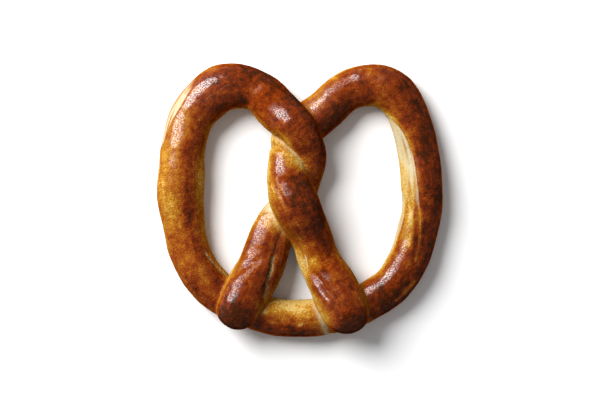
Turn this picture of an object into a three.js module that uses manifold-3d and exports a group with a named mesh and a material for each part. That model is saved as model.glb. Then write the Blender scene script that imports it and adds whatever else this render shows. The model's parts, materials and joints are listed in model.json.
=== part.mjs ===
// A soft pretzel: one rope of dough tied in a full twist, its two ends pressed on to the belly of
// the loop, baked lying flat. Millimetres, +Z up, feet towards -Y, origin at the centre of the base.

import * as THREE from "three";
import { mergeVertices } from "three/addons/utils/BufferGeometryUtils.js";
import Module from "manifold-3d";

// The section of the rope: a rounded dome that the dough's own weight has settled on the sheet.
const HEIGHT_SHARE = 0.86; // height of the free section over its width
const SAG = 1.8; // how far the section is pressed flat by the baking sheet
const UNDERSIDE_FULLNESS = 0.8; // below 1 the lower half is squarer than an ellipse

// Hand rolling leaves low swellings, each a wave that runs along the rope and winds round it.
const SWELLINGS = [
  { height: 0.22, wavelength: 57, turns: 2, phase: 0 },
  { height: 0.22, wavelength: 33, turns: -1, phase: 1.3 },
  { height: 0.14, wavelength: 22, turns: 1, phase: 4 },
];

// The facets.
const SIDES = 28;
const RING_STEP = 3.4;
const NOSE_RINGS = 5; // rings that round off each end of the rope
const NOSE_LENGTH = 9;

// The baking sheet, which cuts the underside flat.
const SHEET_WIDTH = 200;
const SHEET_DEPTH = 20;

// Stations along the rope, each [x, y, rope width, lift]. The lift is how far the centre line
// stands above the height at which the rope would lie on the sheet.
const LEFT_LEG = [
  [-36.25, -66.25, 20, 4.5], // the end of the rope
  [-32, -56, 22, 7.5], // left foot, on top of the belly
  [-24, -41.75, 24.75, 4.25],
  [-17.5, -27.25, 24, 1.2],
  [-12.75, -13.25, 22, 0.4],
];
const LEFT_STRAND = [
  [-4, -1.75, 19.5, 0], // under the right strand
  [2.5, 10.5, 17.75, 3],
  [4.75, 23.5, 18, 7.25],
  [-0.5, 36.5, 19.5, 12], // over the right strand
];
const LEFT_LOOP = [
  [-11, 45.75, 22.5, 6.5],
  [-20.75, 56.25, 21.75, 1.5],
  [-33, 59.5, 24.25, 0], // top of the left loop
  [-45.75, 55.75, 25, 0],
  [-56.5, 43.75, 23.5, 0],
  [-61.25, 27, 24, 0],
  [-62.5, 8.5, 25.25, 0], // middle of the left arm
  [-61.25, -11.5, 22.25, 0],
  [-56.5, -30.25, 22, 0],
  [-46.25, -45.75, 21.5, 0],
];
const BELLY = [
  [-32.5, -54.5, 20, 0],
  [-16.5, -60.75, 20.25, 0],
  [0, -62.25, 20, 0], // middle of the belly
  [17, -60.25, 20, 0],
  [32.25, -55, 20.5, 0],
];
const RIGHT_LOOP = [
  [47, -46, 21, 0],
  [57.25, -30.5, 21, 0],
  [62.75, -11.5, 21.25, 0],
  [64, 8.5, 22.25, 0], // middle of the right arm
  [60.75, 30.5, 21.25, 0],
  [54.25, 50, 22.25, 0],
  [45.75, 57.75, 23.25, 0],
  [36, 60.25, 22.25, 0], // top of the right loop
  [24, 56.5, 21, 0],
  [11.75, 45.75, 21.5, 0.5],
];
const RIGHT_STRAND = [
  [-1.25, 36, 24, 0], // under the left strand
  [-6.25, 25.25, 19, 5.5],
  [-6.5, 11.25, 21.75, 9],
  [-2.25, -2.25, 25, 9.75], // over the left strand
];
const RIGHT_LEG = [
  [4.75, -16.5, 22, 5.5],
  [10, -31.25, 22.25, 2.5],
  [16.5, -44, 24.5, 4.5],
  [23.5, -57.25, 24.5, 7.5], // right foot, on top of the belly
  [25.5, -68.5, 20.5, 4], // the other end of the rope
];
const ROPE = [LEFT_LEG, LEFT_STRAND, LEFT_LOOP, BELLY, RIGHT_LOOP, RIGHT_STRAND, RIGHT_LEG].flat();

// Where the crust tore, stretched or folded while the dough rose. Each line runs through points
// [station, degrees round the section], counted along ROPE from 0. Walking along the rope, 0
// degrees faces the right hand, 90 is the crest and 180 faces the left hand.
const GROOVES = [
  // The tear down the left leg.
  { depth: 1.2, reach: 2.4, line: [[1.6, 32], [1.95, 45], [2.45, 60], [3.05, 66], [3.8, 67]] },
  // The crease over the left knee.
  { depth: 0.8, reach: 2.4, line: [[1.8, 150], [2, 138], [2.35, 113], [2.6, 99]] },
  // The stretched skin outside the left shoulder.
  { depth: 0.5, reach: 3.4, line: [[12.1, 8], [12.8, 16], [13.5, 14], [13.9, 8]] },
  // The tear inside the left hip.
  { depth: 0.8, reach: 2.2, line: [[17, 131], [17.35, 137], [17.65, 149], [18, 158]] },
  // The fold over the right hip.
  { depth: 0.5, reach: 2.2, line: [[23.9, 43], [24.35, 56], [24.95, 66], [25.6, 75]] },
  // The wide band of stretched skin inside the right arm.
  { depth: 0.7, reach: 5, line: [[26.4, 122], [27, 130], [27.75, 136], [28.2, 143], [28.7, 160]] },
  // The fold down the right leg.
  { depth: 0.9, reach: 2.3, line: [[38.1, 64], [38.8, 50], [39.4, 50], [39.9, 63], [40.8, 79]] },
];

// The rope crosses itself, so it is swept as three lengths that each stay clear of themselves.
const LEFT_SPLICE = LEFT_LEG.length + LEFT_STRAND.length;
const RIGHT_SPLICE = ROPE.length - RIGHT_LEG.length - RIGHT_STRAND.length - 1;

const UP = new THREE.Vector3(0, 0, 1);

function centreHeight([, , width, lift]) {
  return (width * HEIGHT_SHARE) / 2 - SAG + lift;
}

// Both curves run through the same stations, so one value of t reads the place and the girth.
const centreLine = new THREE.CatmullRomCurve3(
  ROPE.map((station) => new THREE.Vector3(station[0], station[1], centreHeight(station))),
  false,
  "catmullrom",
);
const girthLine = new THREE.CatmullRomCurve3(
  ROPE.map((station) => new THREE.Vector3(station[2], station[2] * HEIGHT_SHARE, 0)),
  false,
  "catmullrom",
);
centreLine.arcLengthDivisions = ROPE.length * 20;
const ropeLength = centreLine.getLength();

function stationToDistance(station) {
  const lengths = centreLine.getLengths();
  return lengths[Math.round((station / (ROPE.length - 1)) * (lengths.length - 1))];
}

// How far the section has grown at a distance from the nearer end of the rope, from 0 to 1.
function noseTaper(distance) {
  const fromEnd = Math.min(distance, ropeLength - distance);
  const share = Math.min(fromEnd / NOSE_LENGTH, 1);
  return Math.sqrt(1 - (1 - share) ** 2);
}

function swelling(distance, angle) {
  const wave = ({ height, wavelength, turns, phase }) =>
    height * Math.sin((2 * Math.PI * distance) / wavelength + turns * angle + phase);
  return SWELLINGS.reduce((sum, swell) => sum + wave(swell), 0);
}

// Distance on the skin of the rope from a point of it to a groove's line, with the skin rolled out
// flat: x runs along the rope and y round it.
function distanceToLine(line, distance, angle, radius) {
  const here = new THREE.Vector3();
  const rolledOut = line.map(([station, degrees]) => {
    const turn = THREE.MathUtils.degToRad(degrees) - angle;
    const shortWay = Math.atan2(Math.sin(turn), Math.cos(turn));
    return new THREE.Vector3(stationToDistance(station) - distance, radius * shortWay, 0);
  });
  const nearest = new THREE.Vector3();
  const gaps = rolledOut.slice(1).map((end, i) =>
    new THREE.Line3(rolledOut[i], end).closestPointToPoint(here, true, nearest).length(),
  );
  return Math.min(...gaps);
}

function grooveDepth(distance, angle, radius) {
  const depths = GROOVES.map(({ depth, reach, line }) => {
    const gap = distanceToLine(line, distance, angle, radius);
    return depth * Math.exp(-((gap / reach) ** 2));
  });
  return Math.max(...depths);
}

// One ring of the rope: SIDES points round the centre line, at a distance along it.
function ringAt(distance) {
  const u = distance / ropeLength;
  const t = centreLine.getUtoTmapping(u);
  const centre = centreLine.getPoint(t);
  const along = centreLine.getTangent(t);
  const girth = girthLine.getPoint(t);
  const side = along.clone().cross(UP).normalize();
  const rise = side.clone().cross(along).normalize();
  const taper = noseTaper(distance);
  const ring = [];
  for (let i = 0; i < SIDES; i++) {
    const angle = (2 * Math.PI * i) / SIDES;
    const sine = Math.sin(angle);
    const fullness = sine < 0 ? Math.abs(sine) ** (UNDERSIDE_FULLNESS - 1) : 1;
    const bump = swelling(distance, angle) - grooveDepth(distance, angle, girth.x / 2);
    const across = (girth.x / 2 + bump) * taper * Math.cos(angle);
    const upward = (girth.y / 2 + bump) * taper * sine * fullness;
    ring.push(centre.clone().addScaledVector(side, across).addScaledVector(rise, upward));
  }
  return ring;
}

// Distances of the rings of one length: even steps, and a few closer rings round a free end.
function ringDistances(from, to) {
  const noseDistance = (i) => NOSE_LENGTH * (1 - Math.cos((Math.PI / 2) * (i / NOSE_RINGS)));
  const noses = Array.from({ length: NOSE_RINGS - 1 }, (_, i) => noseDistance(i + 1));
  const start = from === 0 ? NOSE_LENGTH : from;
  const end = to === ropeLength ? ropeLength - NOSE_LENGTH : to;
  const steps = Math.round((end - start) / RING_STEP);
  const even = Array.from({ length: steps + 1 }, (_, i) => start + ((end - start) * i) / steps);
  return [
    ...(from === 0 ? noses : []),
    ...even,
    ...(to === ropeLength ? noses.map((nose) => ropeLength - nose).reverse() : []),
  ];
}

// A closed tube: rings joined by quads, and a fan of triangles to a point at each end.
function sweep(from, to) {
  const rings = ringDistances(from, to).map(ringAt);
  const capPoint = (distance) => centreLine.getPoint(centreLine.getUtoTmapping(distance / ropeLength));
  const points = [...rings.flat(), capPoint(from), capPoint(to)];
  const [first, last] = [points.length - 2, points.length - 1];
  const lastRing = (rings.length - 1) * SIDES;
  const faces = [];
  for (let side = 0; side < SIDES; side++) {
    const next = (side + 1) % SIDES;
    for (let ring = 0; ring < rings.length - 1; ring++) {
      const [here, ahead] = [ring * SIDES, (ring + 1) * SIDES];
      faces.push(here + side, ahead + next, here + next, here + side, ahead + side, ahead + next);
    }
    faces.push(first, side, next, last, lastRing + next, lastRing + side);
  }
  const positions = new Float32Array(points.flatMap((point) => point.toArray()));
  const tube = new THREE.BufferGeometry();
  tube.setAttribute("position", new THREE.BufferAttribute(positions, 3));
  return tube.setIndex(faces);
}

const wasm = await Module();
wasm.setup();

function solidOf(geometry) {
  geometry.deleteAttribute("normal");
  geometry.deleteAttribute("uv");
  const merged = mergeVertices(geometry);
  return new wasm.Manifold(
    new wasm.Mesh({
      numProp: 3,
      vertProperties: merged.attributes.position.array,
      triVerts: new Uint32Array(merged.index.array),
    }),
  );
}

function geometryOf(solid) {
  const { vertProperties, triVerts } = solid.getMesh();
  const geometry = new THREE.BufferGeometry();
  geometry.setAttribute("position", new THREE.BufferAttribute(vertProperties, 3));
  geometry.setIndex(new THREE.BufferAttribute(triVerts, 1));
  geometry.computeVertexNormals();
  return geometry;
}

function bakingSheet() {
  return new THREE.BoxGeometry(SHEET_WIDTH, SHEET_WIDTH, SHEET_DEPTH).translate(0, 0, -SHEET_DEPTH / 2);
}

// The three lengths fuse where they touch, and what would sink into the sheet is cut off flat.
function bakedRope() {
  const leftSplice = stationToDistance(LEFT_SPLICE);
  const rightSplice = stationToDistance(RIGHT_SPLICE);
  const leftLeg = solidOf(sweep(0, leftSplice));
  const loops = solidOf(sweep(leftSplice, rightSplice));
  const rightLeg = solidOf(sweep(rightSplice, ropeLength));
  const dough = leftLeg.add(loops).add(rightLeg).subtract(solidOf(bakingSheet()));
  const geometry = geometryOf(dough);
  geometry.computeBoundingBox();
  const middle = geometry.boundingBox.getCenter(new THREE.Vector3());
  return geometry.translate(-middle.x, -middle.y, 0);
}

const crust = new THREE.MeshStandardMaterial({ color: 0x8a4413, roughness: 0.38, metalness: 0 });
const pretzel = new THREE.Mesh(bakedRope(), crust);
pretzel.name = "pretzel";

const group = new THREE.Group();
group.add(pretzel);
export default group;
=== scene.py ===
# %% [markdown]
# # A soft pretzel
#
# A soft pretzel is one rope of dough. Its ends are twisted round each other and pressed on to the
# belly of the loop, then it is dipped in lye and baked until it shines. The packed solid already has
# that rope, so this lesson gives it a skin: the torn and stretched places, the uneven browning with
# some painted shade in it, and the blistered gloss.

import json

import bpy
import numpy as np
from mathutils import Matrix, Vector, noise

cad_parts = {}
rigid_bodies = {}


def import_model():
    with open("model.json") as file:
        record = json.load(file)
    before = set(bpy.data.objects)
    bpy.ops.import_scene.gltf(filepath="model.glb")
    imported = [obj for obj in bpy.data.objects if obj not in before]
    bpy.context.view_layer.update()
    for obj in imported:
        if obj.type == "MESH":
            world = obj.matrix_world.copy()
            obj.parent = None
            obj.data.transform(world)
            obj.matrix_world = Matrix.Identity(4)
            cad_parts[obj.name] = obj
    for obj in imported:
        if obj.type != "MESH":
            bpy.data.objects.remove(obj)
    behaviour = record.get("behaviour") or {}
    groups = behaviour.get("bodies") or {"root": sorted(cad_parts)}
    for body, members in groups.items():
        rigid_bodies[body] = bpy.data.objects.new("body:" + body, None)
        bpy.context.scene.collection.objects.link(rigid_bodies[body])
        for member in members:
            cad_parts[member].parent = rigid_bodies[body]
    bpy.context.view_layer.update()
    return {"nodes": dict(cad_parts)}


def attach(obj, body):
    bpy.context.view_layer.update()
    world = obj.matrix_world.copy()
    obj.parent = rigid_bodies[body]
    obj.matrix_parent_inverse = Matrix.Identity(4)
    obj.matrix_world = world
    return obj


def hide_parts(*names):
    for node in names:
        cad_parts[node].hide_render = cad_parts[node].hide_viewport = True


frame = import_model()
MM = 0.001
scene = bpy.context.scene

# %% [markdown]
# ## The camera first
#
# The pretzel lies flat and is seen from straight above, so the camera hangs over the middle of it
# and looks down, with the tops of the loops at the top of the picture. A long lens far away keeps
# the raised feet and crossings from looking bigger than they are.

# %% Hang the camera over the pretzel
PICTURE_WIDTH = 314.1 * MM  # what the picture is wide, at the height where the rope is widest
ROPE_MIDDLE = 9 * MM
LENS = 100
SENSOR = 36
AIM = Vector((0.00015, 0.0001, 0))


def hang_camera():
    distance = PICTURE_WIDTH * LENS / SENSOR
    bpy.ops.object.camera_add(location=(AIM.x, AIM.y, ROPE_MIDDLE + distance), rotation=(0, 0, 0))
    camera = bpy.context.active_object
    camera.data.lens = LENS
    camera.data.sensor_width = SENSOR
    scene.camera = camera
    return camera


bpy.ops.object.select_all(action="DESELECT")
camera = hang_camera()
print("camera height in mm", round(camera.location.z / MM))

# %% [markdown]
# ## The route of the rope
#
# Every mark on a pretzel follows the rope: a stretch runs along it, a fold winds round it. So each
# point of the skin gets an address on the rope, which is a station number along it and an angle
# round it. The stations are the same ones that the solid was swept through.

# %% Write down the stations
# Each station is [x, y, rope width, lift] in millimetres.
LEFT_LEG = [
    [-36.25, -66.25, 20, 4.5], [-32, -56, 22, 7.5], [-24, -41.75, 24.75, 4.25],
    [-17.5, -27.25, 24, 1.2], [-12.75, -13.25, 22, 0.4],
]
LEFT_STRAND = [[-4, -1.75, 19.5, 0], [2.5, 10.5, 17.75, 3], [4.75, 23.5, 18, 7.25], [-0.5, 36.5, 19.5, 12]]
LEFT_LOOP = [
    [-11, 45.75, 22.5, 6.5], [-20.75, 56.25, 21.75, 1.5], [-33, 59.5, 24.25, 0], [-45.75, 55.75, 25, 0],
    [-56.5, 43.75, 23.5, 0], [-61.25, 27, 24, 0], [-62.5, 8.5, 25.25, 0], [-61.25, -11.5, 22.25, 0],
    [-56.5, -30.25, 22, 0], [-46.25, -45.75, 21.5, 0],
]
BELLY = [
    [-32.5, -54.5, 20, 0], [-16.5, -60.75, 20.25, 0], [0, -62.25, 20, 0], [17, -60.25, 20, 0],
    [32.25, -55, 20.5, 0],
]
RIGHT_LOOP = [
    [47, -46, 21, 0], [57.25, -30.5, 21, 0], [62.75, -11.5, 21.25, 0], [64, 8.5, 22.25, 0],
    [60.75, 30.5, 21.25, 0], [54.25, 50, 22.25, 0], [45.75, 57.75, 23.25, 0], [36, 60.25, 22.25, 0],
    [24, 56.5, 21, 0], [11.75, 45.75, 21.5, 0.5],
]
RIGHT_STRAND = [
    [-1.25, 36, 24, 0], [-6.25, 25.25, 19, 5.5], [-6.5, 11.25, 21.75, 9], [-2.25, -2.25, 25, 9.75],
]
RIGHT_LEG = [
    [4.75, -16.5, 22, 5.5], [10, -31.25, 22.25, 2.5], [16.5, -44, 24.5, 4.5], [23.5, -57.25, 24.5, 7.5],
    [25.5, -68.5, 20.5, 4],
]
STATIONS = np.array(
    LEFT_LEG + LEFT_STRAND + LEFT_LOOP + BELLY + RIGHT_LOOP + RIGHT_STRAND + RIGHT_LEG, float
)
HEIGHT_SHARE = 0.86  # height of the section over its width
SAG = 1.8  # how far the section is pressed flat below
SAMPLES_PER_STATION = 16


def through_points(points, t):
    """A smooth curve through the points, read at station numbers t."""
    ends = np.vstack([2 * points[0] - points[1], points, 2 * points[-1] - points[-2]])
    index = np.clip(np.floor(t).astype(int), 0, len(points) - 2)
    f = (t - index)[:, None]
    a, b, c, d = (ends[index + k] for k in range(4))
    return 0.5 * (2 * b + (c - a) * f + (2 * a - 5 * b + 4 * c - d) * f**2 + (3 * b - a - 3 * c + d) * f**3)


def middle_of_box(middle, side, width):
    """The middle of the rope's own footprint, which the solid has at x = 0, y = 0."""
    reach = np.abs(side[:, :2]) * width[:, None] / 2
    return ((middle[:, :2] - reach).min(0) + (middle[:, :2] + reach).max(0)) / 2


ROUTE_T = np.linspace(0, len(STATIONS) - 1, (len(STATIONS) - 1) * SAMPLES_PER_STATION + 1)
route = through_points(STATIONS, ROUTE_T)
route_width = route[:, 2].copy()
route_middle = np.column_stack([route[:, :2], route_width * HEIGHT_SHARE / 2 - SAG + route[:, 3]])
route_step = np.gradient(route_middle, axis=0)
ROUTE_S = np.concatenate([[0], np.cumsum(np.linalg.norm(np.diff(route_middle, axis=0), axis=1))])
route_along = route_step / np.linalg.norm(route_step, axis=1)[:, None]
route_side = np.cross(route_along, [0, 0, 1])
route_side /= np.linalg.norm(route_side, axis=1)[:, None]
route_rise = np.cross(route_side, route_along)
box_middle = middle_of_box(route_middle, route_side, route_width)
route_middle[:, :2] -= box_middle
print("rope length in mm", round(float(ROUTE_S[-1])), "box middle", box_middle.round(2))

# %% [markdown]
# ## The skin
#
# A crust this soft has no flat facets, but the packed solid has about ten thousand. The skin starts
# as a copy of it with its doubles merged. A voxel remesh turns the three fused lengths into one even
# net of small faces, and a few rounds of smoothing melt the facets away. Sculpting would also do
# this, but a remesh gives the same result each time.

# %% Copy the solid and melt its facets
VOXEL = 0.75 * MM
MELT_ROUNDS, MELT_STRENGTH = 9, 0.5
DOUBLES = 0.001 * MM  # corners of the packed solid that lie this near each other are one corner


def apply_modifier(piece, kind, **settings):
    modifier = piece.modifiers.new(kind.lower(), kind)
    for name, value in settings.items():
        setattr(modifier, name, value)
    bpy.ops.object.modifier_apply(modifier=modifier.name)


def copy_of_node(node, name):
    bpy.ops.object.select_all(action="DESELECT")
    source = frame["nodes"][node]
    source.select_set(True)
    bpy.context.view_layer.objects.active = source
    bpy.ops.object.duplicate()
    piece = bpy.context.active_object
    bpy.ops.object.parent_clear(type="CLEAR_KEEP_TRANSFORM")
    piece.name = name
    piece.data.name = name
    piece.data.materials.clear()
    for key in list(piece.keys()):
        del piece[key]
    bpy.ops.object.mode_set(mode="EDIT")
    bpy.ops.mesh.select_all(action="SELECT")
    bpy.ops.mesh.remove_doubles(threshold=DOUBLES)
    bpy.ops.object.mode_set(mode="OBJECT")
    return piece


crust = copy_of_node("pretzel", "crust_rope")
apply_modifier(crust, "REMESH", mode="VOXEL", voxel_size=VOXEL, use_smooth_shade=True)
apply_modifier(crust, "SMOOTH", factor=MELT_STRENGTH, iterations=MELT_ROUNDS)
print("faces of the skin", len(crust.data.polygons))

# %% [markdown]
# ## An address for every point of the skin
#
# The nearest piece of the route gives a point its station and angle. Where two lengths of rope touch,
# a point is near both, so it keeps the address on each and how much it belongs to the nearer one.

# %% Find the addresses
APART = 3  # stations that must lie between two lengths before they count as two
BLEND = 0.7  # mm over which one length's look gives way to the other's
CHUNK = 4000


def points_of(piece):
    flat = np.empty(len(piece.data.vertices) * 3, np.float32)
    piece.data.vertices.foreach_get("co", flat)
    return flat.reshape(-1, 3).astype(float) / MM


def nearest_samples(points):
    """For each point the nearest route sample, the nearest on another length, and both gaps in mm."""
    owners, others, gaps, other_gaps = [], [], [], []
    squash = np.array([1, 1, 1 / HEIGHT_SHARE])
    for start in range(0, len(points), CHUNK):
        offset = (points[start:start + CHUNK, None, :] - route_middle[None]) * squash
        gap = np.sqrt((offset**2).sum(2)) - route_width / 2
        rows = np.arange(len(gap))
        owner = gap.argmin(1)
        away = np.where(np.abs(ROUTE_T[None] - ROUTE_T[owner][:, None]) > APART, gap, np.inf)
        other = away.argmin(1)
        owners.append(owner)
        others.append(other)
        gaps.append(gap[rows, owner])
        other_gaps.append(away[rows, other])
    return [np.concatenate(part) for part in (owners, others, gaps, other_gaps)]


def address(points, sample):
    """Station, angle in degrees and half width in mm of points beside their route samples."""
    offset = points - route_middle[sample]
    ahead = (offset * route_along[sample]).sum(1)
    across = (offset * route_side[sample]).sum(1)
    up = (offset * route_rise[sample]).sum(1) / HEIGHT_SHARE
    distance = ROUTE_S[sample] + ahead
    station = np.interp(distance, ROUTE_S, ROUTE_T)
    return {"t": station, "s": distance, "angle": np.degrees(np.arctan2(up, across)),
            "radius": route_width[sample] / 2}


skin = points_of(crust)
owner, other, own_gap, other_gap = nearest_samples(skin)
here = address(skin, owner)
beyond = address(skin, other)
apart = other_gap - own_gap  # how much nearer the owner is, in mm
share = 0.5 + 0.5 * np.clip(apart / BLEND, 0, 1)
print("points of the skin", len(skin), "touching another length", int((apart < 2).sum()))

# %% [markdown]
# ## Marks on the rope
#
# The dough swells in the oven after its skin has set, so the skin tears, folds and stretches. Each
# mark is a line through a few points of [station, degrees], where 90 degrees is the crest. Rolling
# the skin out flat gives the distance from any point to that line, and a bell curve of it makes a
# groove. A mark could be cut with a boolean, but baked dough has no sharp cuts.

# %% Write down the tears and folds
# Each is (line, depth in mm, half width in mm, paleness, half width of the pale, rough crumb).
GROOVES = [
    # The tear down the left leg: the pale edge above, the wide part, and the crack below.
    ([[3.75, 62], [3.4, 66], [3.1, 67], [2.88, 66], [2.7, 66]], 0.35, 0.5, 0.4, 0.45, 0.0),
    ([[2.8, 66], [2.65, 65], [2.43, 58], [2.18, 54]], 1.0, 1.1, 0.5, 1.5, 1.0),
    ([[2.18, 54], [2.05, 51], [1.95, 43], [1.8, 35], [1.68, 31]], 1.2, 0.8, 0.4, 1.2, 1.0),
    # The crease over the left knee.
    ([[1.76, 152], [1.98, 138], [2.33, 113], [2.5, 100]], 0.3, 1.7, 0.0, 1.0, 0.0),
    # The tear inside the left hip.
    ([[17.0, 138], [17.2, 141], [17.4, 148], [17.7, 156], [18.0, 163], [18.35, 174]],
     0.6, 0.5, 0.4, 1.1, 0.9),
    # The thin pale line on the left loop's top.
    ([[11.3, 88], [11.62, 94], [12.05, 97], [12.48, 96]], 0.15, 0.3, 0.42, 0.25, 0.0),
    # The line and the fold down the right leg.
    ([[37.2, 68], [37.45, 75], [37.75, 71], [38.05, 65]], 0.3, 0.6, 0.2, 0.5, 0.0),
    ([[39.5, 62], [39.62, 65], [39.93, 71], [40.28, 73], [40.55, 79], [40.9, 88]], 0.8, 1.2, 0.0, 1.0, 0.0),
    # Stretch lines where the right strand bends over the left one.
    ([[36.2, 50], [36.5, 61], [36.75, 66], [37.05, 72]], 0.35, 0.4, 0.0, 1.0, 0.0),
    ([[36.15, 46], [36.5, 57], [36.75, 62], [37.05, 68]], 0.1, 0.4, 0.4, 0.5, 0.0),
    ([[36.3, 33], [36.62, 46], [36.95, 56]], 0.3, 0.4, 0.0, 1.0, 0.0),
    # The notch that ends the golden neck, and the dimple beside it.
    ([[34.98, -15], [35.0, 27], [35.04, 50], [35.15, 70]], 1.3, 1.0, 0.1, 0.8, 0.0),
    # The fold over the right hip and up the arm.
    ([[26.45, 100], [26.0, 91], [25.68, 82]], 0.2, 0.6, 0.12, 0.55, 0.0),
    ([[25.68, 82], [25.3, 74], [24.9, 62]], 0.2, 0.6, 0.2, 0.6, 0.0),
    # Pale flecks on the belly.
    ([[20.98, 72], [21.05, 75]], 0.0, 1.0, 0.5, 0.8, 0.0),
    ([[19.86, 98], [19.9, 103]], 0.0, 1.0, 0.6, 0.7, 0.0),
    ([[20.16, 70], [20.2, 72]], 0.0, 1.0, 0.35, 0.6, 0.0),
    # Pores and nicks.
    ([[9.98, 83], [10.02, 83]], 0.5, 0.6, 0.0, 1.0, 0.0),
    ([[28.06, 115], [28.1, 115]], 0.5, 0.5, 0.0, 1.0, 0.0),
    ([[40.16, 106], [40.24, 110]], 0.5, 0.8, 0.0, 1.0, 0.0),
    ([[40.46, 131], [40.54, 135]], 0.5, 0.8, 0.0, 1.0, 0.0),
    ([[17.88, 22], [17.92, 26]], 0.5, 0.6, 0.0, 1.0, 0.0),
]
# Each is (line, height in mm, half width in mm): skin that bulges beside a fold.
RIDGES = [
    ([[4.3, 150], [3.4, 150], [2.7, 150]], 0.7, 3.2),
    ([[39.5, 42], [39.8, 48], [40.2, 52], [40.6, 58]], 0.65, 2.3),
    ([[36.3, 40], [36.6, 51], [36.9, 60]], 0.2, 0.6),
    ([[2.7, 75], [2.3, 66], [2.0, 60]], 0.3, 1.2),
    ([[2.6, 52], [2.2, 42], [1.9, 30]], 0.3, 1.3),
    ([[2.15, 150], [2.4, 128], [2.6, 112]], 0.15, 2.0),
    ([[1.45, 150], [1.7, 135], [1.9, 122]], 0.25, 2.0),
    ([[8.3, 90], [8.3, 118]], 1.1, 3.8),
    ([[30.5, 66], [30.3, 74]], 0.35, 1.5),
    ([[30.9, 62], [30.75, 67]], 0.25, 1.2),
    ([[31.5, 53], [31.35, 60]], 0.3, 1.4),
    ([[35.75, 58], [35.95, 66]], 0.25, 1.3),
    ([[36.2, 78], [36.35, 88]], 0.3, 1.4),
]
print("grooves", len(GROOVES), "ridges", len(RIDGES))


def gap_to_line(place, line):
    """Distance in mm on the rolled out skin from each point to a line of [station, degrees]."""
    nodes = []
    for station, degrees in line:
        x = np.interp(station, ROUTE_T, ROUTE_S) - place["s"]
        turn = (degrees - place["angle"] + 180) % 360 - 180
        nodes.append(np.column_stack([x, np.radians(turn) * place["radius"]]))
    gap = np.full(len(place["s"]), np.inf)
    for start, end in zip(nodes, nodes[1:]):
        run = end - start
        share_of_run = np.clip(-(start * run).sum(1) / (run**2).sum(1), 0, 1)
        gap = np.minimum(gap, np.linalg.norm(start + share_of_run[:, None] * run, axis=1))
    return gap


def bell(gap, half_width):
    return np.exp(-((gap / half_width) ** 2))


# %% [markdown]
# ## Stretched skin
#
# Where the outside of a bend stretches, new skin without lye comes up beside the brown crust. It is
# pale, smooth and a little lower, and the crust ends at it in a lip. Such a band is given by the
# angle of its lip and of its far edge at a few stations.

# %% Write down the stretched bands
# Each is (degrees over which its lip falls, share of its width that fades out, streakiness, rows
# of station, lip angle, far angle, paleness).
BANDS = [
    # Down the inside of the right arm.
    (5, 0.45, 0.9, [
        (26.1, 91, 99, 0.1), (26.35, 96, 108, 0.35), (26.8, 101, 128, 0.8), (27.03, 104, 140, 0.95),
        (27.38, 106, 160, 1.0), (27.65, 108, 190, 1.0), (27.98, 114, 205, 1.0), (28.3, 121, 215, 1.0),
        (28.53, 134, 215, 0.9), (28.75, 152, 215, 0.8), (28.9, 170, 210, 0.4),
    ]),
    (5, 0.5, 0.7, [
        (26.5, 119, 131, 0.3), (26.7, 124, 136, 0.6), (26.93, 130, 145, 0.7), (27.3, 135, 152, 0.6),
        (27.55, 138, 156, 0.3),
    ]),
    # Further down, on its inner edge.
    (12, 0.4, 0.8, [
        (24.75, 158, 190, 0.2), (25.0, 156, 200, 0.5), (25.35, 152, 205, 0.7), (25.7, 142, 205, 0.85),
        (26.1, 140, 205, 0.85), (26.5, 146, 205, 0.8), (26.8, 158, 205, 0.5),
    ]),
    # Outside the left shoulder, and a smaller one below it.
    (4, 0.75, 1.3, [
        (12.1, 38, -10, 0.2), (12.43, 49, -20, 0.7), (12.65, 54, -25, 0.85), (12.93, 54, -25, 0.9),
        (13.18, 49, -25, 1.0), (13.35, 44, -25, 1.0), (13.6, 40, -25, 0.95), (13.88, 35, -20, 0.9),
        (14.1, 24, -15, 0.5),
    ]),
    (4, 0.3, 1.0, [
        (14.1, 12, -15, 0.4), (14.28, 22, -20, 0.85), (14.5, 28, -20, 0.9), (14.9, 25, -20, 0.8),
        (15.3, 18, -10, 0.4),
    ]),
    # On the left leg's outer edge, below the crossing.
    (20, 0.3, 1.0, [
        (3.7, 168, 205, 0.1), (4.0, 145, 210, 0.35), (4.25, 110, 215, 0.7), (4.5, 85, 215, 1.0),
        (5.0, 70, 215, 1.0),
    ]),
    # Two pale streaks along the right leg's inner edge.
    (6, 0.5, 0.5, [
        (38.5, 60, 46, 0.2), (38.7, 61, 48, 0.85), (39.0, 57, 45, 0.8), (39.2, 52, 42, 0.5),
        (39.35, 48, 38, 0.2),
    ]),
    (8, 0.5, 0.5, [
        (38.9, 12, -20, 0.3), (39.15, 20, -20, 0.6), (39.35, 26, -20, 0.85), (39.65, 24, -20, 0.85),
        (39.9, 18, -20, 0.7), (40.1, 10, -20, 0.3),
    ]),
]
BAND_DEPTH = 0.3  # mm
BAND_COVER = 0.92  # share of a band that is pale where no streak darkens it
END_OUTSIDE, END_INSIDE = 0.05, 0.1  # stations over which the ends of a band fade
print("bands", len(BANDS))


def smooth_step(value, low, high):
    x = np.clip((value - low) / (high - low), 0, 1)
    return x * x * (3 - 2 * x)


def in_band(place, band):
    """How much a point lies in a band, from 0 to 1, how pale it is there and how streaky."""
    lip_fall, fading, streaky, rows = band
    table = np.array(rows, float)
    lip, far, pale = (np.interp(place["t"], table[:, 0], table[:, k]) for k in (1, 2, 3))
    way = 1 if table[:, 2].sum() > table[:, 1].sum() else -1
    from_lip = way * ((place["angle"] - lip + 180) % 360 - 180)
    from_far = way * ((far - place["angle"] + 180) % 360 - 180)
    inside = smooth_step(from_lip, 0, lip_fall) * smooth_step(from_far, 0, fading * np.abs(far - lip))
    ends = smooth_step(place["t"], table[0, 0] - END_OUTSIDE, table[0, 0] + END_INSIDE)
    ends *= 1 - smooth_step(place["t"], table[-1, 0] - END_INSIDE, table[-1, 0] + END_OUTSIDE)
    return inside * ends, pale, streaky


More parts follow.
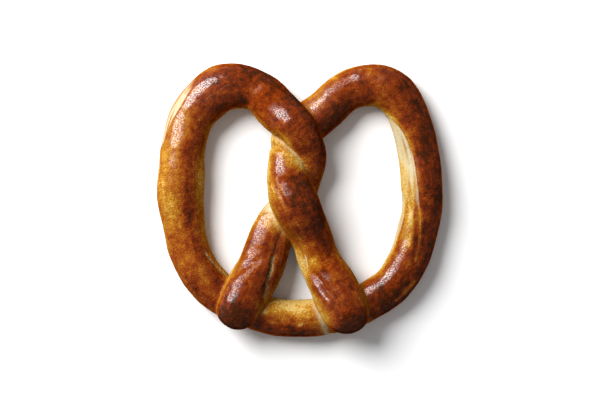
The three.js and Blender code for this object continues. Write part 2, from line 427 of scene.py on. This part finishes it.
# %% [markdown]
# ## The marks on every point
#
# Dough that stretches draws out into fine strands along the rope. A noise that is long that way and
# short round the rope gives them. Then each point is asked how near it lies to every line and band.
# A mask painted by hand would do too, but a list of lines can be read and corrected.

# %% Work out the marks for every point
STREAK_LENGTH, STREAK_WIDTH = 18, 1.3  # mm
STREAK_SHIFT = Vector((0, 0, 31))  # where in the noise the strands are read


def streaks(place):
    """Noise drawn out along the rope."""
    turn = np.radians(place["angle"])
    rolled = np.column_stack([place["s"] / STREAK_LENGTH, np.cos(turn) * place["radius"] / STREAK_WIDTH,
                              np.sin(turn) * place["radius"] / STREAK_WIDTH])
    return np.array([noise.noise(Vector(point) + STREAK_SHIFT) for point in rolled])


def surface_marks(place):
    count = len(place["s"])
    depth, rise, pale, crumb = np.zeros(count), np.zeros(count), np.zeros(count), np.zeros(count)
    for line, groove_depth, half_width, paleness, pale_width, roughness in GROOVES:
        gap = gap_to_line(place, line)
        depth = np.maximum(depth, groove_depth * bell(gap, half_width))
        pale = np.maximum(pale, paleness * bell(gap, pale_width))
        crumb = np.maximum(crumb, roughness * bell(gap, half_width))
    for line, height, half_width in RIDGES:
        rise = np.maximum(rise, height * bell(gap_to_line(place, line), half_width))
    strands = streaks(place)
    for band in BANDS:
        inside, paleness, streaky = in_band(place, band)
        depth = np.maximum(depth, inside * BAND_DEPTH)
        pale = np.maximum(pale, inside * paleness * np.clip(BAND_COVER + streaky * strands, 0, 1))
    return {"depth": depth, "rise": rise, "pale": np.clip(pale, 0, 1), "crumb": crumb, "strands": strands}


def both_lengths(rule):
    """A rule's values on the nearer length, giving way to the other length's where they touch."""
    near, far = rule(here), rule(beyond)
    return {name: share * near[name] + (1 - share) * far[name] for name in near}


marks = both_lengths(surface_marks)
print("deepest mark in mm", round(float(marks["depth"].max()), 2))

# %% [markdown]
# ## Seams between lengths of rope
#
# Where one length lies on another they bake together. Little colour reaches the corner between them,
# so the lower length shows a pale line there, wider where the upper length pulled away from it.

# %% Find the seams
SEAM_REACH, SEAM_PALE = 0.8, 0.12  # mm that every seam's pale line reaches, and how pale it is
# (station, reach along the rope in stations, reach of the pale zone in mm, paleness,
# reach of the golden zone in mm, how golden it is)
SEAM_ZONES = [
    (4.5, 0.75, 3.2, 1.0, 12.0, 1.0),  # the left leg, below the crossing
    (35.1, 1.2, 1.7, 1.0, 7.0, 1.0),  # the right strand's neck, under the left one
    (7.6, 1.0, 0.1, 0.0, 2.2, 0.6),  # the left strand's edge over that neck
    (21.65, 0.4, 2.6, 1.0, 5.0, 0.6),  # the belly, beside the right foot
    (19.85, 0.3, 1.6, 0.5, 3.0, 0.4),  # the belly, beside the left foot
    (18.6, 0.3, 1.2, 0.3, 3.0, 0.4),  # the left hip, beside the left foot
]


def seam_zones(place):
    pale, gold = SEAM_PALE * bell(apart, SEAM_REACH), np.zeros(len(apart))
    for station, along, pale_reach, paleness, gold_reach, goldness in SEAM_ZONES:
        near = bell(place["t"] - station, along)
        pale = np.maximum(pale, paleness * near * bell(apart, pale_reach))
        gold = np.maximum(gold, goldness * near * bell(apart, gold_reach))
    return {"pale": pale, "gold": gold}


seams = seam_zones(here)
seam = seams["pale"]
SEAM_DEPTH, SEAM_HALF_WIDTH = 0.45, 0.9  # mm
seam_groove = SEAM_DEPTH * bell(apart, SEAM_HALF_WIDTH)
print("seam points", int((seam > 0.3).sum()))

# %% [markdown]
# ## Shape the skin
#
# The points move along their normals: down into the marks and seams, and up and down a little for
# the lumps and blisters that no baked skin is without. The noise is a fixed pattern of the place, so
# the result is the same on every run.

# %% Push the points in and out
LUMP_SIZE, LUMP_HEIGHT = 7.5, 0.22
BLISTER_SIZE, BLISTER_HEIGHT = 2.4, 0.07
CRUMB_SIZE, CRUMB_HEIGHT = 0.9, 0.45
FLOOR_FLAT, FLOOR_FREE = 0.3, 2.0  # mm above the floor where points start to move, and move fully
NOISE_SHIFT = Vector((17, 5, 11))  # how far apart in the noise two seeds are read


def noise_at(points, size, seed):
    return np.array([noise.noise(Vector(point) / size + NOISE_SHIFT * seed) for point in points])


def normals_of(piece):
    flat = np.empty(len(piece.data.vertices) * 3, np.float32)
    piece.data.vertex_normals.foreach_get("vector", flat)
    return flat.reshape(-1, 3).astype(float)


lumps = LUMP_HEIGHT * noise_at(skin, LUMP_SIZE, 1)
blisters = BLISTER_HEIGHT * noise_at(skin, BLISTER_SIZE, 2) * (1 - marks["pale"])
holes = CRUMB_HEIGHT * noise_at(skin, CRUMB_SIZE, 3) * marks["crumb"]
above_floor = smooth_step(skin[:, 2], FLOOR_FLAT, FLOOR_FREE)
push = (lumps + blisters + holes + marks["rise"] - marks["depth"] - seam_groove) * above_floor
shaped = skin + push[:, None] * normals_of(crust)
shaped[:, 2] = np.maximum(shaped[:, 2], 0)
crust.data.vertices.foreach_set("co", (shaped * MM).astype(np.float32).ravel())
crust.data.update()
print("points moved from", round(float(push.min()), 2), "to", round(float(push.max()), 2), "mm")

# %% [markdown]
# ## How brown it is, and where shade is painted
#
# Crests brown first, because the oven's heat and the lye reach them, and the flanks stay golden. The
# rest is partly chance, partly painted shade that darkens the sides turned away from the light, and
# partly painted light that lifts one shaded flank. So it is painted patch by patch: a patch is a place
# on the rope, how far it reaches along and round it, and how much darker or lighter it is there.

# %% Write down the browning and the painted shade
FLANK, CREST, UNDER = 0.33, 0.66, 0.5
CREST_RISE, UNDER_FALL = (0.05, 0.8), (0.3, 0.9)  # sine of the angle where each starts and is full
GOLDEN = 0.17  # how brown the golden zones along the seams are
# (station, degrees, reach in stations, reach in degrees, change)
BROWNING_AND_SHADE_PATCHES = [
    # The left foot and leg; the foot's dark tip and right-hand side are partly painted shade.
    (0.2, 80, 0.9, 90, 0.4), (0.8, 92, 0.6, 40, 0.12), (0.0, 20, 0.8, 50, 0.25),
    (1.6, 172, 1.4, 20, -0.3), (3.4, 168, 0.9, 22, -0.25), (2.2, 95, 0.9, 40, 0.05),
    (4.2, 60, 0.4, 40, -0.12), (4.1, 110, 0.4, 70, -0.3), (3.1, 100, 0.7, 20, 0.08),
    (1.0, 25, 0.6, 24, -0.2), (3.1, 30, 0.6, 26, 0.1), (2.9, 120, 0.5, 12, -0.1),
    (2.5, 96, 0.25, 7, -0.2), (2.25, 102, 0.2, 6, -0.2),
    # The left strand in the twist and the loop's top; their darker far sides are partly painted shade.
    (7.6, 152, 1.0, 14, -0.3), (6.7, 100, 0.5, 14, -0.25), (6.0, 60, 0.6, 70, -0.15),
    (7.4, 15, 1.4, 40, 0.3), (8.6, 90, 1.2, 40, 0.02), (7.2, 80, 0.6, 20, -0.1),
    (7.7, 142, 0.6, 14, -0.15), (9.2, 15, 1.2, 34, 0.42), (10.3, 25, 0.8, 30, 0.22),
    (9.3, 170, 0.5, 14, -0.15), (10.9, 145, 1.3, 24, 0.25), (10.6, 178, 0.9, 12, -0.15),
    (11.0, 75, 1.1, 45, 0.15), (12.6, 140, 0.5, 22, 0.15),
    # The left arm, golden outside with a brown stripe inside its crest, and painted light
    # that lifts its shaded inner flank.
    (13.2, 66, 0.8, 24, -0.2), (14.6, 50, 1.5, 32, -0.35), (16.0, 55, 0.9, 34, -0.22),
    (15.0, 88, 2.0, 14, -0.14), (15.3, 114, 2.0, 13, 0.1), (15.0, 150, 2.0, 24, -0.1),
    (15.2, 160, 2.6, 26, -0.1), (17.6, 80, 0.9, 50, -0.1), (17.1, 40, 0.6, 24, 0.14),
    (15.3, 146, 1.0, 16, -0.12), (17.9, 150, 0.6, 20, -0.12), (17.9, 30, 0.8, 30, 0.05),
    (18.4, 90, 0.35, 50, 0.1),
    # The belly, golden inside and brown outside; the brown outside is partly painted shade.
    (20.7, 148, 1.3, 46, -0.6), (20.4, 118, 0.5, 14, -0.15), (21.2, 104, 0.6, 16, -0.25),
    (20.6, 40, 1.3, 36, 0.34), (19.6, 110, 0.3, 60, 0.15), (21.0, 74, 0.12, 12, -0.45),
    (20.18, 71, 0.1, 9, -0.3), (20.73, 128, 0.12, 9, -0.3), (19.88, 100, 0.1, 9, -0.6),
    # The right hip and arm; their darker outer side is partly painted shade.
    (23.6, 70, 0.8, 60, 0.2), (24.2, 80, 0.5, 30, 0.14), (23.6, 10, 1.0, 40, 0.2),
    (24.8, 168, 1.2, 18, -0.35), (25, 20, 1.2, 36, 0.22), (24.2, 54, 0.14, 9, -0.35),
    (25.7, 108, 0.7, 22, -0.3), (26.0, 128, 0.7, 18, -0.4), (26.9, 158, 0.7, 22, -0.45),
    (27.8, 152, 1.1, 34, -0.5), (26.9, 118, 0.5, 12, -0.45), (27.4, 70, 1.5, 40, 0.17),
    (27.0, 20, 1.8, 36, 0.2), (28.6, 80, 0.9, 50, 0.04), (25.3, 84, 0.4, 14, 0.15),
    # The right loop's top and shoulder; the shoulder's darker lower side is partly painted shade.
    (29.0, 158, 0.6, 18, -0.2), (30.4, 165, 0.8, 16, -0.15), (29.4, 30, 0.9, 44, 0.18),
    (31.3, 100, 0.7, 20, 0.03), (31.6, 150, 0.8, 24, 0.1), (32.7, 140, 0.9, 40, 0.36),
    (33.1, 45, 0.6, 40, -0.16), (32, 12, 0.9, 20, -0.16), (30.8, 60, 0.3, 14, -0.1),
    # The right strand: golden neck, brown crossing, and a dark far side that is partly painted shade.
    (34.6, 70, 0.5, 110, -0.22), (35.15, 60, 0.3, 60, -0.14), (35.3, 120, 0.3, 30, -0.3),
    (35.7, 132, 0.3, 18, -0.35), (35.4, 104, 0.35, 22, -0.28), (35.6, 158, 0.35, 26, -0.45),
    (35.3, 20, 0.5, 26, -0.16), (36.0, 18, 0.9, 30, -0.36), (36.0, 37, 0.4, 20, -0.15),
    (35.35, 150, 0.5, 24, -0.1), (36.5, 140, 0.8, 36, 0.3), (35.9, 90, 0.4, 20, -0.1),
    (37.3, 77, 0.4, 16, -0.1), (37.6, 135, 1.2, 50, 0.26), (37.0, 80, 0.6, 24, 0.08),
    (36.6, 60, 0.5, 5, -0.18), (36.4, 44, 0.4, 5, -0.2), (38.27, 88, 0.1, 10, -0.4),
    (38.85, 80, 0.14, 10, -0.3),
    # The right leg and foot; the leg's dark right side and the foot's dark tip are partly painted shade.
    (37.9, 60, 0.4, 16, 0.06), (38.6, 35, 0.8, 18, -0.25), (39.1, 66, 0.35, 18, -0.32),
    (39.6, 25, 0.8, 20, -0.35), (39.6, 100, 0.8, 30, -0.06), (40.9, 20, 0.7, 28, -0.36),
    (41.2, 45, 0.35, 24, -0.22), (38.3, 62, 0.5, 14, -0.22), (39.0, 44, 0.5, 16, -0.25),
    (40.2, 108, 0.1, 9, 0.25), (40.5, 133, 0.1, 9, 0.25), (40.0, 52, 0.5, 5, 0.12),
    (41.75, 90, 0.5, 80, 0.55), (41.3, 90, 0.4, 50, 0.3), (41.3, 168, 0.5, 20, -0.1),
]
# (line of [station, degrees], half width in mm, change): narrower than a patch.
STRIPES = [
    ([[26.8, 97], [27.4, 102], [28.0, 110], [28.3, 117], [28.55, 130], [28.8, 148]], 1.1, -0.25),
    ([[26.3, 112], [25.9, 103], [25.5, 94], [25.1, 86]], 0.8, 0.25),
    ([[26.5, 102], [26.0, 91], [25.5, 80], [25.0, 72]], 0.6, -0.4),
    ([[24.5, 40], [23.9, 44]], 1.4, -0.6),
    ([[25.6, 112], [25.3, 106]], 1.2, -0.3),
    ([[26.0, 80], [25.3, 64]], 0.8, 0.15),
    ([[26.9, 150], [26.3, 128], [25.9, 118]], 0.7, -0.3),
    ([[36.1, 62], [36.5, 72], [36.9, 78]], 0.6, -0.25),
    ([[36.2, 38], [36.55, 51], [36.9, 60]], 0.5, -0.25),
    ([[37.3, 52], [37.8, 56], [38.3, 50]], 0.7, -0.2),
    ([[3.7, 50], [3.2, 46], [2.8, 42]], 1.0, -0.2),
    ([[38.4, 22], [39.0, 18], [39.6, 14]], 1.0, -0.3),
]


def in_patch(place, station, degrees, along, around):
    """How much a point lies in a patch, from 0 to 1."""
    turn = (place["angle"] - degrees + 180) % 360 - 180
    return bell(place["t"] - station, along) * bell(turn, around)


# Browning, with the painted shade and the painted light of the patches.
def browning_and_shade_rule(place):
    rise = np.sin(np.radians(place["angle"]))
    brown = FLANK + (CREST - FLANK) * smooth_step(rise, *CREST_RISE)
    brown = brown + (UNDER - FLANK) * smooth_step(-rise, *UNDER_FALL)
    for *patch, change in BROWNING_AND_SHADE_PATCHES:
        brown = brown + change * in_patch(place, *patch)
    for line, half_width, change in STRIPES:
        brown = brown + change * bell(gap_to_line(place, line), half_width)
    return {"brown": brown}


print("patches", len(BROWNING_AND_SHADE_PATCHES), "stripes", len(STRIPES))

# %% [markdown]
# ## The browning and painted shade of every point
#
# Inside a patch the crust is cloudy too, and streaked where the dough stretched. Noise of two sizes
# and the strands from before break the patches up. The shader could do the clouds, but the strands
# follow the rope, and only the points know their place on it.

# %% Work out the browning and painted shade of every point
CLOUDS = [(9, 0.2, 4), (3.5, 0.17, 5)]  # (size in mm, strength, seed) of darker and lighter clouds
STREAK_STRENGTH = 0.12
MOTTLED, MOTTLED_BROWN = 0.5, 0.7  # how much the mottling shows, and how much more on brown crust

# Besides browning, this holds the painted shade of the far flanks and tips, and the painted light on one
# shaded flank.
browning = both_lengths(browning_and_shade_rule)["brown"]
mottling = sum(strength * noise_at(skin, size, seed) for size, strength, seed in CLOUDS)
mottling = mottling + STREAK_STRENGTH * marks["strands"]
golden_pull = np.minimum(GOLDEN - browning, 0) * seams["gold"]
browning += golden_pull + mottling * (MOTTLED + MOTTLED_BROWN * browning)
pale = np.clip(marks["pale"] + seam * (1 - marks["pale"]), 0, 1)
print("browning from", round(float(browning.min()), 2), "to", round(float(browning.max()), 2))

# %% [markdown]
# ## How shiny it is
#
# The shine sits on top, where the lye dried and the oven's heat reached, and not on the flanks. It's
# uneven there too, so it's written down in the same way as the browning: a dull crust, and patches
# that are glossier or duller than it. One even gloss would be quicker, and would look like plastic.

# %% Write down the gloss
DULL = 0.26
SHINE_FROM, SHINE_FULL = 0.55, 0.8  # how far up the skin faces where the shine starts and is full
PALE_DULLS = 0.6
# (station, degrees, reach in stations, reach in degrees, how much glossier)
GLOSSY = [
    (1.0, 134, 0.5, 30, 0.75), (1.65, 143, 0.3, 18, 0.5), (2.5, 138, 0.35, 20, 0.45),
    (3.4, 133, 0.5, 22, 0.5), (3.4, 106, 0.8, 12, -0.25), (2.95, 128, 0.12, 26, -0.35),
    (1.0, 98, 0.6, 20, -0.25), (4.1, 120, 0.3, 24, 0.35), (8.65, 108, 0.3, 28, 1.0),
    (12.0, 72, 0.8, 40, 0.75), (12.65, 60, 0.5, 24, 0.6), (13.6, 62, 0.6, 26, 0.5),
    (15, 60, 1.0, 24, 0.15), (35.6, 70, 0.45, 34, 0.6), (36.1, 80, 0.2, 26, -0.45),
    (33.0, 54, 0.5, 34, 1.5), (31.45, 54, 0.25, 20, 0.4), (30.35, 68, 0.3, 22, 0.5),
    (23.6, 128, 0.6, 24, 0.6), (24.35, 135, 0.4, 22, 0.6), (24.0, 94, 0.7, 18, -0.3),
    (34.7, 80, 0.3, 60, -0.25), (25.2, 128, 0.6, 22, 0.4), (40.1, 56, 0.4, 20, 0.6),
    (40.9, 72, 0.6, 30, 0.2), (41.05, 90, 0.15, 14, -0.6), (38.9, 90, 0.6, 34, -0.3),
    (9.4, 96, 0.35, 60, -0.6), (39.4, 98, 0.4, 34, -0.3), (31.9, 64, 0.35, 26, -0.15),
    (10.6, 60, 0.6, 40, -0.1),
]


def gloss_rule(place):
    gloss = np.full(len(place["t"]), DULL)
    for *patch, change in GLOSSY:
        gloss = gloss + change * in_patch(place, *patch)
    return {"gloss": np.clip(gloss, 0, 1)}


facing_up = smooth_step(normals_of(crust)[:, 2], SHINE_FROM, SHINE_FULL)
shine = both_lengths(gloss_rule)["gloss"] * facing_up * (1 - PALE_DULLS * pale)
print("shine up to", round(float(shine.max()), 2))

# %% [markdown]
# ## Let colours run into each other
#
# On real bread no two browns meet in a hard line at a seam, and the round tips of the feet brown
# evenly. The colours here are held by points 0.75 mm apart, which would show as teeth where they jump,
# so each point there takes a little of its neighbours' colour a few times over. It's quicker than a
# finer skin, and the rest of the skin keeps its fine lines.

# %% Soften the seams and tips
SEAM_ROUNDS, TIP_ROUNDS = 4, 60
SOFTNESS = 0.8  # share of the way to the neighbours' mean in one round
SEAM_SOFT, TIP_SOFT = 1.6, 0.45  # reach in mm from a seam, and in stations from a tip


def soften(values, where, rounds):
    """Moves each point's value towards the mean of its neighbours, as far as where says."""
    ends = np.empty(len(crust.data.edges) * 2, np.int32)
    crust.data.edges.foreach_get("vertices", ends)
    first, second = ends[::2], ends[1::2]
    size = len(values)
    count = np.bincount(first, minlength=size) + np.bincount(second, minlength=size)
    for _ in range(rounds):
        total = np.bincount(first, values[second], size) + np.bincount(second, values[first], size)
        values = values + where * (total / count - values)
    return values


near_seam = SOFTNESS * bell(apart, SEAM_SOFT)
near_tip = SOFTNESS * bell(np.minimum(here["t"], ROUTE_T[-1] - here["t"]), TIP_SOFT)
pale = soften(pale, near_seam, SEAM_ROUNDS)
browning = soften(soften(browning, near_seam, SEAM_ROUNDS), near_tip, TIP_ROUNDS)
softened = [int((near > 0.1).sum()) for near in (near_seam, near_tip)]
print("points softened at seams and at tips", softened)

# %% [markdown]
# ## Numbers for the finish
#
# Four numbers at each point tell the finish what the baked skin is like there: how brown, with its
# painted shade, how pale, how torn and how shiny it is. A picture wrapped round the skin could carry
# them, but it would need an unwrapping, and the points lie close enough together to carry them themselves.

# %% Keep the looks on the skin
def keep_on_skin(piece, name, values):
    attribute = piece.data.attributes.new(name, "FLOAT", "POINT")
    attribute.data.foreach_set("value", np.clip(values, 0, 1).astype(np.float32))


# The browning is kept with its painted shade in it.
keep_on_skin(crust, "browning", browning)
keep_on_skin(crust, "pale", pale)
keep_on_skin(crust, "crumb", marks["crumb"])
keep_on_skin(crust, "shine", shine)
print("attributes", [attribute.name for attribute in crust.data.attributes])

# %% [markdown]
# ## A small language for shader maths
#
# Node trees are easier to read as sums. This class wraps a socket, so that adding or multiplying two
# of them adds the Math node for it.

# %% Wrap sockets so that they can be added and multiplied
class Wire:
    def __init__(self, tree, socket):
        self.tree = tree
        self.socket = socket

    def node(self, kind, settings=None, **inputs):
        """Adds a node. Settings are set first, then the values or links of its sockets."""
        made = self.tree.nodes.new(kind)
        for name, value in (settings or {}).items():
            if name == "stops":
                set_stops(made.color_ramp, value)
            else:
                setattr(made, name, value)
        for name, value in inputs.items():
            self.plug(made.inputs[int(name[1:])] if name[0] == "i" and name[1:].isdigit() else
                      made.inputs[name.replace("_", " ")], value)
        return made

    def plug(self, socket, value):
        if isinstance(value, Wire):
            self.tree.links.new(value.socket, socket)
        else:
            socket.default_value = value

    def out(self, node, output=0):
        return Wire(self.tree, node.outputs[output])

    def math(self, operation, other=None, clamp=False):
        inputs = {"i0": self} if other is None else {"i0": self, "i1": other}
        return self.out(self.node("ShaderNodeMath", {"operation": operation, "use_clamp": clamp}, **inputs))

    def __add__(self, other):
        return self.math("ADD", other)

    def __sub__(self, other):
        return self.math("SUBTRACT", other)

    def __mul__(self, other):
        return self.math("MULTIPLY", other)

    def __rsub__(self, other):
        return (self * -1.0).math("ADD", other)

    __radd__ = __add__

    def clamped(self):
        return self.math("ADD", 0.0, clamp=True)

    def step(self, low, high):
        """0 below low, 1 above high and smooth between."""
        made = self.node("ShaderNodeMapRange", {"interpolation_type": "SMOOTHSTEP"}, Value=self)
        made.inputs["From Min"].default_value = low
        made.inputs["From Max"].default_value = high
        return self.out(made)


def set_stops(ramp, stops):
    while len(ramp.elements) < len(stops):
        ramp.elements.new(1)
    for element, (place, colour) in zip(ramp.elements, stops):
        element.position = place
        element.color = (*colour, 1)


print("a wire can", [name for name in vars(Wire) if not name.startswith("_")])

# %% [markdown]
# ## The crust's finish
#
# Lye and heat give a shiny skin that runs from straw through amber and chestnut to mahogany. Under it
# the torn dough is cream and matt, and the holes in its crumb are dark with painted shade. The colour
# comes from a ramp over the browning and painted shade, broken up by blotches and fine speckles. The
# gloss is a thin coat over the skin, which thins out on pale dough and is missing on torn crumb. A
# painted picture would be another way, but it can't shine, and a ramp is easier to correct.

# %% Choose the colours and the grains
# The darkest stops also serve the painted shade on the feet's tips and far flanks.
BROWNING_AND_SHADE_STOPS = [
    (0.0, (0.48, 0.33, 0.105)),
    (0.12, (0.385, 0.19, 0.016)),
    (0.32, (0.275, 0.097, 0.007)),
    (0.5, (0.212, 0.049, 0.0044)),
    (0.67, (0.155, 0.0222, 0.0026)),
    (0.84, (0.092, 0.0138, 0.0022)),
    (1.0, (0.04, 0.0098, 0.0024)),
]
CREAM = (0.465, 0.395, 0.24, 1)
CRUMB = (0.34, 0.23, 0.1, 1)
# The dark of the crumb's holes is painted shade.
CRUMB_PIT_SHADE = (0.07, 0.035, 0.012, 1)
MOTTLE, SPECKLE, PIT_SHADE, PIMPLES, WRINKLES, FLECKS = 2.5, 0.6, 0.9, 1.1, 2.6, 0.8  # sizes in mm
# Blotches change the browning more on brown crust, and speckles change it less there.
BLOTCH_STRENGTH, BLOTCH_MORE = 0.3, 0.55
SPECKLE_STRENGTH, SPECKLE_LESS = 1.05, 0.5
PALE_BLOTCHES, PALE_SPECKLES = 0.5, 0.9
# Between which two values a noise or a number goes from nothing to full.
PALE_EDGE, TORN_EDGE, PIT_SHADE_EDGE, FLECK_EDGE = (0.12, 1.12), (0.15, 0.6), (0.36, 0.52), (0.44, 0.58)
RELIEF = 0.55 * MM  # how high the bump stands
WRINKLE_SHARE, PALE_SMOOTHS = 0.5, 0.6
GLOSS_LEAST, GLOSS_IN_FLECKS = 0.15, 0.7
ROUGHNESS, PALE_ROUGHENS, TORN_ROUGHENS = 0.5, 0.2, 0.3
COAT_ROUGHNESS, COAT_IOR, CRUST_IOR = 0.2, 1.75, 1.45
print("colours from straw to mahogany", len(BROWNING_AND_SHADE_STOPS))

# %% [markdown]
# ## Wire the finish together
#
# Baked skin is never one surface: blotches, speckles, pimples and wrinkles of different sizes lie over
# each other. Each is one noise here. A scanned picture of bread would repeat itself, and noise in
# three dimensions has no seam anywhere on the rope.

# %% Mix the finish
def baked_finish():
    material = bpy.data.materials.new("baked_crust")
    material.use_nodes = True
    tree = material.node_tree
    tree.nodes.clear()
    start = Wire(tree, None)
    place = start.out(start.node("ShaderNodeTexCoord"), "Object")

    def kept(name):
        return start.out(start.node("ShaderNodeAttribute", {"attribute_name": name}), "Fac")

    def grain(size, detail, roughness=0.5):
        made = start.node("ShaderNodeTexNoise", None, Vector=place, Scale=1 / (size * MM), Detail=detail,
                          Roughness=roughness)
        return start.out(made, "Fac")

    # brown is the browning together with its painted shade.
    brown, pale_skin, torn, shine = kept("browning"), kept("pale"), kept("crumb"), kept("shine")
    mottle = grain(MOTTLE, 3.0) - 0.5
    speckle = grain(SPECKLE, 2.0) - 0.5
    blotches = mottle * (BLOTCH_STRENGTH + brown * BLOTCH_MORE)
    speckles = speckle * (SPECKLE_STRENGTH - brown * SPECKLE_LESS)
    tone = (brown + blotches + speckles).clamped()
    ramp = start.out(start.node("ShaderNodeValToRGB", {"stops": BROWNING_AND_SHADE_STOPS}, Fac=tone), "Color")

    def mixed(factor, under, over):
        made = start.node("ShaderNodeMix", {"data_type": "RGBA"})
        start.plug(made.inputs[0], factor)
        start.plug(made.inputs[6], under)
        start.plug(made.inputs[7], over)
        return start.out(made, 2)

    unevenness = mottle * PALE_BLOTCHES + speckle * PALE_SPECKLES
    paleness = (pale_skin + unevenness * pale_skin).step(*PALE_EDGE)
    colour = mixed(paleness, ramp, CREAM)
    # Painted shade in the holes of the torn crumb.
    pit_shade = grain(PIT_SHADE, 2.0).step(*PIT_SHADE_EDGE)
    colour = mixed(torn.step(*TORN_EDGE), colour, mixed(pit_shade, CRUMB_PIT_SHADE, CRUMB))

    pimples = grain(PIMPLES, 2.0)
    wrinkles = grain(WRINKLES, 2.0)
    relief = pimples * (1 - paleness * PALE_SMOOTHS) + wrinkles * WRINKLE_SHARE
    bump = start.node("ShaderNodeBump", None, Strength=1.0, Distance=RELIEF, Height=relief)
    flecks = grain(FLECKS, 2.0, 0.6).step(*FLECK_EDGE)
    gloss = shine * (1 - torn) * (GLOSS_LEAST + flecks * GLOSS_IN_FLECKS)
    shader = start.node("ShaderNodeBsdfPrincipled", None, Base_Color=colour,
                        Roughness=ROUGHNESS + paleness * PALE_ROUGHENS + torn * TORN_ROUGHENS,
                        Coat_Weight=gloss, Normal=start.out(bump, "Normal"))
    shader.inputs["Coat Roughness"].default_value = COAT_ROUGHNESS
    shader.inputs["Coat IOR"].default_value = COAT_IOR
    shader.inputs["IOR"].default_value = CRUST_IOR
    shader.inputs["Specular IOR Level"].default_value = 0.0
    output = start.node("ShaderNodeOutputMaterial")
    tree.links.new(shader.outputs[0], output.inputs["Surface"])
    return material


crust.data.materials.append(baked_finish())
bpy.ops.object.select_all(action="DESELECT")
crust.select_set(True)
bpy.context.view_layer.objects.active = crust
bpy.ops.object.shade_smooth()
print("materials", [material.name for material in crust.data.materials])

# %% [markdown]
# ## Floor and light
#
# The pretzel is shown on plain white, lit by one soft light from the upper left, which leaves the
# right-hand flanks dark, and a weak light from all round that keeps them from going black.

# %% Lay the floor and hang the lights
FLOOR_SIZE = 4.0
KEY_FROM = Vector((-0.55, 0.5, 0.62))
KEY_DISTANCE = 0.9
KEY_SIZE = 0.72
KEY_POWER = 19.0
ROOM_LIGHT = 0.3
BOARD_WHITE = (0.9, 0.9, 0.9, 1)


def lay_floor():
    bpy.ops.mesh.primitive_plane_add(size=FLOOR_SIZE, location=(0, 0, 0))
    floor = bpy.context.active_object
    floor.name = "floor"
    material = bpy.data.materials.new("white_board")
    material.use_nodes = True
    shader = material.node_tree.nodes["Principled BSDF"]
    shader.inputs["Base Color"].default_value = BOARD_WHITE
    shader.inputs["Roughness"].default_value = 0.9
    shader.inputs["Specular IOR Level"].default_value = 0.1
    floor.data.materials.append(material)


def hang_light(name, direction, distance, size, power):
    place = Vector(direction).normalized() * distance
    bpy.ops.object.light_add(type="AREA", location=place)
    light = bpy.context.active_object
    light.name = name
    light.rotation_euler = place.to_track_quat("Z", "Y").to_euler()
    light.data.shape = "DISK"
    light.data.size = size
    light.data.energy = power


lay_floor()
hang_light("key", KEY_FROM, KEY_DISTANCE, KEY_SIZE, KEY_POWER)
world = bpy.data.worlds.new("room")
world.use_nodes = True
world.node_tree.nodes["Background"].inputs["Color"].default_value = (1, 1, 1, 1)
world.node_tree.nodes["Background"].inputs["Strength"].default_value = ROOM_LIGHT
scene.world = world
scene.view_settings.view_transform = "Standard"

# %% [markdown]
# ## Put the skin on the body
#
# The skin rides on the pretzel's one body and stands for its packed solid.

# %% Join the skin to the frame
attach(crust, "root")
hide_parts("pretzel")
